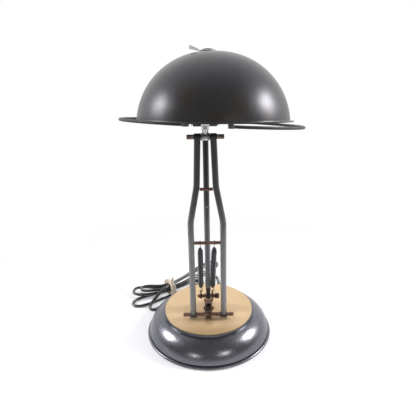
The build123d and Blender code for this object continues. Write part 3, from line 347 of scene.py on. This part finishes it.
# tones clouded by noise, gloss as a span of roughness, and grain whose depth is in metres
looks = {
    "gunmetal": {
        "tones": [(0.132, 0.136, 0.154), (0.156, 0.159, 0.178), (0.142, 0.144, 0.157)], "metal": 0.9,
        "gloss": (0.26, 0.30), "cloud": 9.0, "grain": 900.0, "depth": 0.000001, "coat": (0.15, 0.25)},
    "shadeMetal": {
        "tones": [(0.078, 0.077, 0.083), (0.094, 0.093, 0.101), (0.088, 0.082, 0.083)], "metal": 0.9,
        "gloss": (0.34, 0.42), "cloud": 11.0, "grain": 900.0, "depth": 0.000001, "coat": (0.15, 0.3),
        "wearAndPaintedLight": wornShade},
    "darkPaint": {
        "tones": [(0.030, 0.030, 0.032), (0.050, 0.049, 0.051)], "metal": 0.3,
        "gloss": (0.30, 0.45), "cloud": 60.0, "grain": 1600.0, "depth": 0.00002},
    "capBlack": {
        "tones": [(0.016, 0.016, 0.017), (0.028, 0.028, 0.029)], "metal": 0.0,
        "gloss": (0.55, 0.7), "cloud": 60.0, "grain": 1600.0, "depth": 0.00002},
    "ringPaint": {
        "tones": [(0.020, 0.020, 0.022), (0.034, 0.034, 0.037)], "metal": 0.1,
        "gloss": (0.40, 0.52), "cloud": 60.0, "grain": 1600.0, "depth": 0.00001},
    "feltGreen": {
        "tones": [(0.05, 0.07, 0.05), (0.08, 0.10, 0.075)], "metal": 0.0,
        "gloss": (0.9, 1.0), "cloud": 160.0, "grain": 2500.0, "depth": 0.0003},
    "castIron": {
        "tones": [(0.13, 0.13, 0.13), (0.19, 0.185, 0.18)], "metal": 0.6,
        "gloss": (0.6, 0.8), "cloud": 90.0, "grain": 700.0, "depth": 0.0002},
    "zincSteel": {
        "tones": [(0.38, 0.37, 0.36), (0.52, 0.51, 0.49)], "metal": 1.0,
        "gloss": (0.28, 0.45), "cloud": 120.0, "grain": 2200.0, "depth": 0.00001},
    "agedSteel": {
        "tones": [(0.045, 0.038, 0.032), (0.12, 0.10, 0.085)], "metal": 0.8,
        "gloss": (0.34, 0.5), "cloud": 160.0, "grain": 2000.0, "depth": 0.00002},
    "boltSteel": {
        "tones": [(0.045, 0.038, 0.032), (0.12, 0.10, 0.085)], "metal": 0.6,
        "gloss": (0.34, 0.5), "cloud": 160.0, "grain": 2000.0, "depth": 0.00002, "wearAndPaintedLight": paintBoltLight},
    "copperBrown": {
        "tones": [(0.10, 0.054, 0.041), (0.21, 0.116, 0.088), (0.27, 0.175, 0.138)], "metal": 0.5,
        "gloss": (0.36, 0.58), "cloud": 150.0, "grain": 1800.0, "depth": 0.00003},
    "topCopper": {
        "tones": [(0.17, 0.12, 0.11), (0.26, 0.19, 0.175), (0.32, 0.24, 0.22)], "metal": 0.4,
        "gloss": (0.32, 0.50), "cloud": 150.0, "grain": 1800.0, "depth": 0.00003},
    "darkCopper": {
        "tones": [(0.040, 0.022, 0.018), (0.105, 0.056, 0.046)], "metal": 0.6,
        "gloss": (0.34, 0.5), "cloud": 220.0, "grain": 1800.0, "depth": 0.00003},
    "bracketCopper": {
        "tones": [(0.085, 0.048, 0.034), (0.19, 0.115, 0.08)], "metal": 0.3,
        "gloss": (0.36, 0.55), "cloud": 130.0, "grain": 1800.0, "depth": 0.00002, "wearAndPaintedLight": paintBracketLight},
    "tubeGrey": {
        "tones": [(0.185, 0.184, 0.187), (0.228, 0.227, 0.230)], "metal": 0.4,
        "gloss": (0.34, 0.46), "cloud": 24.0, "grain": 1500.0, "depth": 0.00001, "stretch": (1, 1, 0.08),
        "wearAndPaintedLight": paintTubeShade},
    "linkGrey": {
        "tones": [(0.150, 0.150, 0.158), (0.185, 0.185, 0.193)], "metal": 0.5,
        "gloss": (0.30, 0.42), "cloud": 24.0, "grain": 1500.0, "depth": 0.00001, "stretch": (1, 1, 0.08),
        "wearAndPaintedLight": paintTubeShade},
    "collarGrey": {
        "tones": [(0.042, 0.042, 0.045), (0.060, 0.060, 0.063)], "metal": 0.3,
        "gloss": (0.36, 0.5), "cloud": 90.0, "grain": 1700.0, "depth": 0.00002},
    "neckChrome": {
        "tones": [(0.80, 0.80, 0.82), (0.88, 0.88, 0.90)], "metal": 1.0,
        "gloss": (0.06, 0.12), "cloud": 50.0, "grain": 1800.0, "depth": 0.000002},
    "springBlack": {
        "tones": [(0.090, 0.094, 0.100), (0.125, 0.130, 0.138)], "metal": 0.75,
        "gloss": (0.26, 0.36), "cloud": 160.0, "grain": 2400.0, "depth": 0.000005},
    "leverGrey": {
        "tones": [(0.86, 0.86, 0.88), (0.94, 0.94, 0.96)], "metal": 0.1,
        "gloss": (0.30, 0.42), "cloud": 120.0, "grain": 2000.0, "depth": 0.00001, "stretch": (0.1, 1, 1)},
    "mouldedBlack": {
        "tones": [(0.018, 0.018, 0.019), (0.028, 0.028, 0.029)], "metal": 0.0,
        "gloss": (0.4, 0.55), "cloud": 90.0, "grain": 2600.0, "depth": 0.00003},
    "bulbMetal": {
        "tones": [(0.60, 0.60, 0.60), (0.70, 0.70, 0.69)], "metal": 1.0,
        "gloss": (0.22, 0.34), "cloud": 100.0, "grain": 1800.0, "depth": 0.000005},
    "opalGlass": {
        "tones": [(0.84, 0.83, 0.79), (0.88, 0.87, 0.84)], "metal": 0.0,
        "gloss": (0.12, 0.2), "cloud": 40.0, "grain": 500.0, "depth": 0.000004},
    "cordBlack": {
        "tones": [(0.006, 0.006, 0.007), (0.010, 0.010, 0.012)], "metal": 0.0,
        "gloss": (0.40, 0.50), "cloud": 80.0, "grain": 1500.0, "depth": 0.00001, "coat": (1.0, 0.1)},
    "prongBrass": {
        "tones": [(0.62, 0.46, 0.22), (0.70, 0.54, 0.28)], "metal": 1.0,
        "gloss": (0.22, 0.36), "cloud": 90.0, "grain": 1900.0, "depth": 0.000008},
}
brass = {
    "tones": [(0.545, 0.392, 0.226), (0.595, 0.432, 0.256), (0.645, 0.472, 0.288)],
    "metal": 0.3,
    "gloss": (0.50, 0.60),
    "cloud": 14.0,
    "rings": 420.0,
    "waver": 0.6,
    "depth": 0.000006,
}
twineLook = {
    "tones": [(0.50, 0.41, 0.33), (0.70, 0.60, 0.49), (0.82, 0.73, 0.63)],
    "fibre": 900.0,
    "depth": 0.0003,
    "roughness": 0.9,
}


def newMaterial(name):
    material = bpy.data.materials.new(name)
    material.use_nodes = True
    tree = material.node_tree
    return material, tree, tree.nodes["Principled BSDF"]


def cloudedFinish(name, look):
    material, tree, shader = newMaterial(name)
    colour = toneRamp(tree, noiseNode(tree, look["cloud"], "cloud"), look["tones"])
    # patina, or painted light and shade, over the clouded colour
    if "wearAndPaintedLight" in look:
        colour = look["wearAndPaintedLight"](tree, colour)
    grain = noiseNode(tree, look["grain"], "grain", look.get("stretch", (1, 1, 1)))
    tree.links.new(colour, shader.inputs["Base Color"])
    tree.links.new(rangeNode(tree, grain, noiseSpan, look["gloss"]), shader.inputs["Roughness"])
    tree.links.new(bumpNode(tree, grain, look["depth"]), shader.inputs["Normal"])
    setInputs(shader, {"Metallic": look["metal"]})
    if "coat" in look:
        weight, roughness = look["coat"]
        setInputs(shader, {"Coat Weight": weight, "Coat Roughness": roughness})
    return material


# turned brass: fine rings about the axis and warm clouds
def turnedBrass():
    material, tree, shader = newMaterial("turnedBrass")
    cloud = noiseNode(tree, brass["cloud"], "brass")
    # the plate's painted reflections go over the clouded brass
    colour = paintPlateReflections(tree, toneRamp(tree, cloud, brass["tones"]))
    rings = newNode(tree, "TexWave", objectCoords(tree))
    rings.wave_type = "RINGS"
    rings.rings_direction = "Z"
    setInputs(rings, {"Scale": brass["rings"], "Distortion": brass["waver"]})
    tree.links.new(colour, shader.inputs["Base Color"])
    tree.links.new(rangeNode(tree, cloud, noiseSpan, brass["gloss"]), shader.inputs["Roughness"])
    tree.links.new(bumpNode(tree, rings.outputs["Fac"], brass["depth"]), shader.inputs["Normal"])
    setInputs(shader, {"Metallic": brass["metal"]})
    return material


# natural twine: fine fibres, pale and matt
def twineFinish():
    material, tree, shader = newMaterial("twine")
    fibre = noiseNode(tree, twineLook["fibre"], "fibre")
    tree.links.new(toneRamp(tree, fibre, twineLook["tones"]), shader.inputs["Base Color"])
    tree.links.new(bumpNode(tree, fibre, twineLook["depth"]), shader.inputs["Normal"])
    setInputs(shader, {"Roughness": twineLook["roughness"]})
    return material


finishes = {name: cloudedFinish(name, look) for name, look in looks.items()}
finishes["turnedBrass"] = turnedBrass()
finishes["twine"] = twineFinish()

nodeFinishes = {
    "gunmetal": ["base_shell"],
    "shadeMetal": ["shade"],
    "darkPaint": ["top_collar_left", "top_collar_right", "link_lower_end", "link_upper_end", "tilt_yoke",
                  "ring_clips"],
    "capBlack": ["shade_cap"],
    "ringPaint": ["grab_ring"],
    "turnedBrass": ["base_plate"],
    "feltGreen": ["felt_pad"],
    "castIron": ["base_weight"],
    "zincSteel": ["base_spacer", "swivel_washer", "neck_washers", "link_screw", "link_pin", "tilt_bolt",
                  "tilt_nut", "shade_nut", "switch_spindle"],
    "agedSteel": ["swivel_stud", "thrust_washer", "swivel_nut", "cheek_nut"],
    "boltSteel": ["cheek_bolt"],
    "copperBrown": ["short_bar", "long_rod", "spring_rod", "spacer_rod"],
    "topCopper": ["top_rod"],
    "darkCopper": ["spring_eye_left", "spring_eye_right", "bar_nuts"],
    "bracketCopper": ["swivel_bracket"],
    "tubeGrey": ["arm_tube_left", "arm_tube_right"],
    "linkGrey": ["link_tube"],
    "collarGrey": ["foot_collar_left", "foot_collar_right"],
    "neckChrome": ["neck"],
    "springBlack": ["spring_left", "spring_right"],
    "leverGrey": ["switch_lever"],
    "mouldedBlack": ["cord_gland", "lampholder", "plug_body"],
    "bulbMetal": ["bulb_cap"],
    "opalGlass": ["bulb_glass"],
    "cordBlack": ["cord_lead", "cord_hank"],
    "prongBrass": ["plug_prongs"],
    "twine": ["hank_tie"],
}
for finishName, members in nodeFinishes.items():
    for member in members:
        nodes[member].data.materials.clear()
        nodes[member].data.materials.append(finishes[finishName])
print("materials are on", sum(len(members) for members in nodeFinishes.values()), "CAD nodes")

# Surfaces on a grid


def unit(vectors):
    return vectors / np.linalg.norm(vectors, axis=-1, keepdims=True)


# runs from 0 to 1 and is level at both ends
def ease(share):
    return share * share * (3 - 2 * share)


# a closed tube: at each path point a ring in the plane of the two side vectors, one radius or one a corner
def tubeGrid(points, firstSide, secondSide, radius, sides):
    count = len(points)
    angle = np.arange(sides) * 2 * pi / sides
    reach = np.broadcast_to(radius, (count, sides))
    firstPart = np.cos(angle)[None, :, None] * firstSide[:, None]
    secondPart = np.sin(angle)[None, :, None] * secondSide[:, None]
    places = (points[:, None] + reach[..., None] * (firstPart + secondPart)).reshape(-1, 3)
    row, column = np.meshgrid(np.arange(count - 1), np.arange(sides), indexing="ij")
    following = (column + 1) % sides
    quads = np.stack([row * sides + column, row * sides + following, (row + 1) * sides + following,
                      (row + 1) * sides + column], axis=-1).reshape(-1, 4)
    caps = [list(range(sides))[::-1], [(count - 1) * sides + k for k in range(sides)]]
    return places, quads.tolist() + caps


def meshPiece(name, *grids):
    places, faces = [], []
    for gridPlaces, gridFaces in grids:
        first = len(places)
        places += [tuple(place) for place in gridPlaces.tolist()]
        faces += [[first + corner for corner in face] for face in gridFaces]
    mesh = bpy.data.meshes.new(name)
    mesh.from_pydata(places, [], faces)
    mesh.update()
    mesh.shade_smooth()
    piece = bpy.data.objects.new(name, mesh)
    bpy.context.scene.collection.objects.link(piece)
    return piece


# Springs

springs = {
    "turns": 82,
    "perTurn": 18,
    "wire": 0.66 * mm,
    "wireSides": 6,
    "coil": 4.7 * mm,
    "tip": 0.34,  # radius of the end turns against the full coil
    "taperTurns": 9,
    "taperPower": 0.8,
    "hook": 4.4 * mm,
    "foot": 3.2 * mm,
    "hookPoints": 15,
    "runPoints": 8,  # of the wire between a hook and the coil
    "lowLength": 9.5 * mm,  # from the hooks' middles to the coil
    "highLength": 13.6 * mm,
    "upperY": -36.7 * mm,
    "upperZ": 229.5 * mm,
    "lowerY": 2.0 * mm,
    "lowerZ": 97.2 * mm,
    "eyes": {"left": -14.8 * mm, "right": 9.1 * mm},
    "rod": {"left": -13.3 * mm, "right": 13.3 * mm},
    "bendShare": 0.75,  # a share of a spring's length
}


# a hook round the eye, a close coil whose radius swells and shrinks, and a hook round the rod
def springPiece(side):
    s = springs
    lower = np.array([s["eyes"][side], s["lowerY"], s["lowerZ"]])
    upper = np.array([s["rod"][side], s["upperY"], s["upperZ"]])
    length = np.linalg.norm(upper - lower)
    up = (upper - lower) / length
    east = unit(np.array([1.0, 0, 0]) - up * up[0])
    north = np.cross(up, east)
    axes = np.stack([east, north, up])

    steps = s["turns"] * s["perTurn"] + s["perTurn"] // 4
    turn = np.arange(steps + 1) / s["perTurn"]
    swell = np.clip(np.minimum(turn, turn[-1] - turn) / s["taperTurns"], 0, 1)
    coilRadius = s["coil"] * (s["tip"] + (1 - s["tip"]) * np.sin(swell * pi / 2) ** s["taperPower"])
    coilOut = np.stack([np.cos(turn * 2 * pi), np.sin(turn * 2 * pi), 0 * turn], axis=-1)
    coil = coilOut * coilRadius[:, None]
    coil[:, 2] = s["lowLength"] + (length - s["lowLength"] - s["highLength"]) * turn / turn[-1]

    arc = np.linspace(-pi, 0, s["hookPoints"])[:-1]
    lowHook = np.stack([np.cos(arc), 0 * arc, np.sin(arc)], axis=-1) * s["foot"]
    rise = np.linspace(0, 1, s["runPoints"])[:-1]
    lowReach = s["foot"] + (coilRadius[0] - s["foot"]) * ease(rise)
    lowRun = np.stack([lowReach, 0 * rise, s["lowLength"] * rise], axis=-1)
    lowRunOut = np.repeat(np.array([[1.0, 0, 0]]), len(rise), axis=0)

    climb = 1 - rise[::-1]  # from the coil's end up to the hook
    highReach = coilRadius[-1] + (s["hook"] - coilRadius[-1]) * ease(climb)
    highRun = np.stack([0 * climb, highReach, length - s["highLength"] + s["highLength"] * climb], axis=-1)
    highRunOut = np.repeat(np.array([[0, 1.0, 0]]), len(climb), axis=0)
    over = np.linspace(0, pi, s["hookPoints"])[1:]
    highHook = np.stack([0 * over, np.cos(over), np.sin(over)], axis=-1) * s["hook"]
    raised = highHook + np.array([0, 0, length])

    points = lower + np.concatenate([lowHook, lowRun, coil, highRun, raised]) @ axes
    outward = np.concatenate([unit(lowHook), lowRunOut, coilOut, highRunOut, unit(highHook)]) @ axes
    along = unit(np.gradient(points, axis=0))
    outward = unit(outward - along * np.sum(outward * along, axis=-1, keepdims=True))
    wire = tubeGrid(points, outward, np.cross(along, outward), s["wire"], s["wireSides"])
    piece = meshPiece("coil_" + side, wire)
    piece.data.materials.append(finishes["springBlack"])
    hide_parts("spring_" + side)
    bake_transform(piece)


for side in ("left", "right"):
    springPiece(side)
print("springs are wound")

# Cord, hank and tie

cordSettings = {
    "radius": 3.3 * mm,
    "bevel": 3,
    "resolution": 10,
    "order": 3,
    "lift": 0.05,
    "tieLift": 2.2,
    "layer": 7.7,
    "tie": (-84.0, 129.0),
    "bundle": 33.0,  # degrees, the hank's direction
    "lead": [(24, 151.23, 14), (24, 163, 14), (24, 178, 7.5), (21, 194, 3.35), (11, 208, 3.35),
             (-8, 213, 3.35), (-32, 204, 3.35)],
    # each lobe's angle, reach and width, its strand's place across the tie and its layer, its corners' layer
    "lobes": [(205, 92, 38, 13.5, 0, 0), (38, 80, 26, -6, 0, 0), (178, 87, 43, 4.2, 1, 1),
              (50, 160, 44, -4.2, 1, 1), (179, 69, 26, 4.2, 2, 2), (46, 130, 24, -4.2, 2, 2),
              (234, 72, 22, 1, 3, 0)],
    "levelShare": 0.36,  # of the last lobe's first run
    "tail": [(-95, 97, 3.35), (-76, 112.3, 3.35), (-63.5, 126, 6.5), (-50, 130, 8.05)],
    "length": 1.72,
}


# the lobes go out from the tie and back, one strand after the other
def cordRoute():
    c = cordSettings
    floor = c["radius"] / mm + c["lift"]
    tie = np.array([*c["tie"], 0.0])
    bundle = radians(c["bundle"])
    across = np.array([-np.sin(bundle), np.cos(bundle), 0.0])
    route = [np.array(point, float) for point in c["lead"]]
    for angle, reach, width, place, layer, cornerLayer in c["lobes"]:
        way = np.array([np.cos(radians(angle)), np.sin(radians(angle)), 0.0])
        aside = np.array([way[1], -way[0], 0.0])
        waist = tie + across * place + np.array([0, 0, floor + c["tieLift"] + layer * c["layer"]])
        level = np.array([0, 0, floor + cornerLayer * c["layer"]])
        first = tie + way * reach + aside * width / 2 + level
        second = tie + way * reach - aside * width / 2 + level
        route.append(waist)
        if layer > cornerLayer:  # the last lobe stays up over the strands below it before it drops
            over = waist + (first - waist) * c["levelShare"]
            over[2] = waist[2]
            route.append(over)
        route += [first, second]
    route += [np.array(point, float) for point in c["tail"]]
    return np.array(route) * mm


def cordPiece():
    route = cordRoute()
    data = bpy.data.curves.new("cord", "CURVE")
    data.dimensions = "3D"
    data.bevel_depth = cordSettings["radius"]
    data.bevel_resolution = cordSettings["bevel"]
    data.resolution_u = cordSettings["resolution"]
    data.use_fill_caps = True
    spline = data.splines.new("NURBS")
    spline.points.add(len(route) - 1)
    spline.points.foreach_set("co", np.c_[route, np.ones(len(route))].ravel())
    spline.order_u = cordSettings["order"]
    spline.use_endpoint_u = True
    cord = bpy.data.objects.new("cord", data)
    bpy.context.scene.collection.objects.link(cord)
    data.materials.append(finishes["cordBlack"])
    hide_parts("cord_lead", "cord_hank")
    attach(cord, "base")


cordPiece()
print("cord is laid")

twineTie = {  # lengths in millimetres
    "span": 29.7,
    "height": 30.6,
    "aside": 5.2,
    "floor": 0.05,
    "wraps": 5,
    "perWrap": 96,
    "radius": 0.95,
    "sides": 8,
    "pitch": 1.75,
    "corner": 0.45,  # power that squares a wrap's round
    "slant": 2.4,  # wraps lean along the bundle
    "crossWraps": 2,  # they cross over the others
    "cross": -4.2,
    "crossOut": 2.6,  # in radii
    "ply": 4.2,  # length of half a turn of the two plies
    "plyPinch": 0.16,
    "knot": 1.25,
    "knotPoints": 73,
    "knotLift": 3.6,  # in radii
    "knotAside": 10,
    # rise, lean and bow
    "tails": [(13, 3.2, 1.5), (12, 1.6, -1.2), (13.5, 0.2, 1.0), (11, -1.4, -1.0), (12.5, 2.4, -2.4)],
    "tailPoints": 24,
}


# two-ply twine along a path: its ring is pinched twice, and the pinch turns as it goes
def twineGrid(points):
    t = twineTie
    way = unit(np.gradient(points, axis=0))
    first = np.zeros_like(points)
    side = np.cross(way[0], (0.3, 0.2, 1.0))  # any direction that isn't the path's
    for k, forward in enumerate(way):  # the side vector is carried along without twisting
        side = side - forward * (side @ forward)
        first[k] = side = side / np.linalg.norm(side)
    ring = np.arange(t["sides"]) * 2 * pi / t["sides"]
    run = np.cumsum(np.r_[0, np.linalg.norm(np.diff(points, axis=0), axis=1)])
    pinch = np.cos(2 * (ring[None] - run[:, None] / t["ply"] * pi))
    reach = t["radius"] * (1 - t["plyPinch"] + t["plyPinch"] * pinch)
    places, faces = tubeGrid(points, first, np.cross(way, first), reach, t["sides"])
    return places * mm, faces


# wraps go round a rounded box and lean along the bundle, two more cross them, a knot with tails sits on top
def tiePiece():
    t = twineTie
    bundle = radians(cordSettings["bundle"])
    along = np.array([np.cos(bundle), np.sin(bundle), 0.0])
    across = np.array([-np.sin(bundle), np.cos(bundle), 0.0])
    up = np.array([0, 0, 1.0])
    middleHeight = t["floor"] + t["height"] / 2 + 2 * t["radius"]
    middle = np.array([*cordSettings["tie"], middleHeight]) + across * t["aside"]

    def squared(wave):
        return np.sign(wave) * np.abs(wave) ** t["corner"]

    def wrap(count, out, slant):
        turn = np.arange(count * t["perWrap"] + 1) / t["perWrap"]
        angle = turn * 2 * pi + pi / 2
        wide = squared(np.cos(angle)) * (t["span"] / 2 + out)
        high = squared(np.sin(angle)) * (t["height"] / 2 + out)
        place = (turn - count / 2) * t["pitch"] + slant * np.cos(angle)
        path = middle + wide[:, None] * across + place[:, None] * along + high[:, None] * up
        path[:, 2] = np.maximum(path[:, 2], t["floor"] + t["radius"])  # the floor flattens them
        return path

    under = wrap(t["wraps"], t["radius"], t["slant"])
    over = wrap(t["crossWraps"], t["radius"] * t["crossOut"], t["cross"])
    topHeight = t["height"] / 2 + t["knotLift"] * t["radius"] + t["knot"]
    top = middle + up * topHeight - across * t["knotAside"]
    angle = np.linspace(0, 2 * pi, t["knotPoints"])[:, None]
    knot = top + t["knot"] * ((np.sin(angle) + 2 * np.sin(2 * angle)) * along
                              + (np.cos(angle) - 2 * np.cos(2 * angle)) * across
                              - np.sin(3 * angle) * up)
    rise = np.linspace(0, 1, t["tailPoints"])[:, None]
    tails = [top + rise * (up * tall + along * lean) + np.sin(rise * pi) * across * bow
             for tall, lean, bow in t["tails"]]
    piece = meshPiece("twineTie", *[twineGrid(path) for path in [under, over, knot] + tails])
    piece.data.materials.append(finishes["twine"])
    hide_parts("hank_tie")
    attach(piece, "base")


tiePiece()
print("tie is wound")
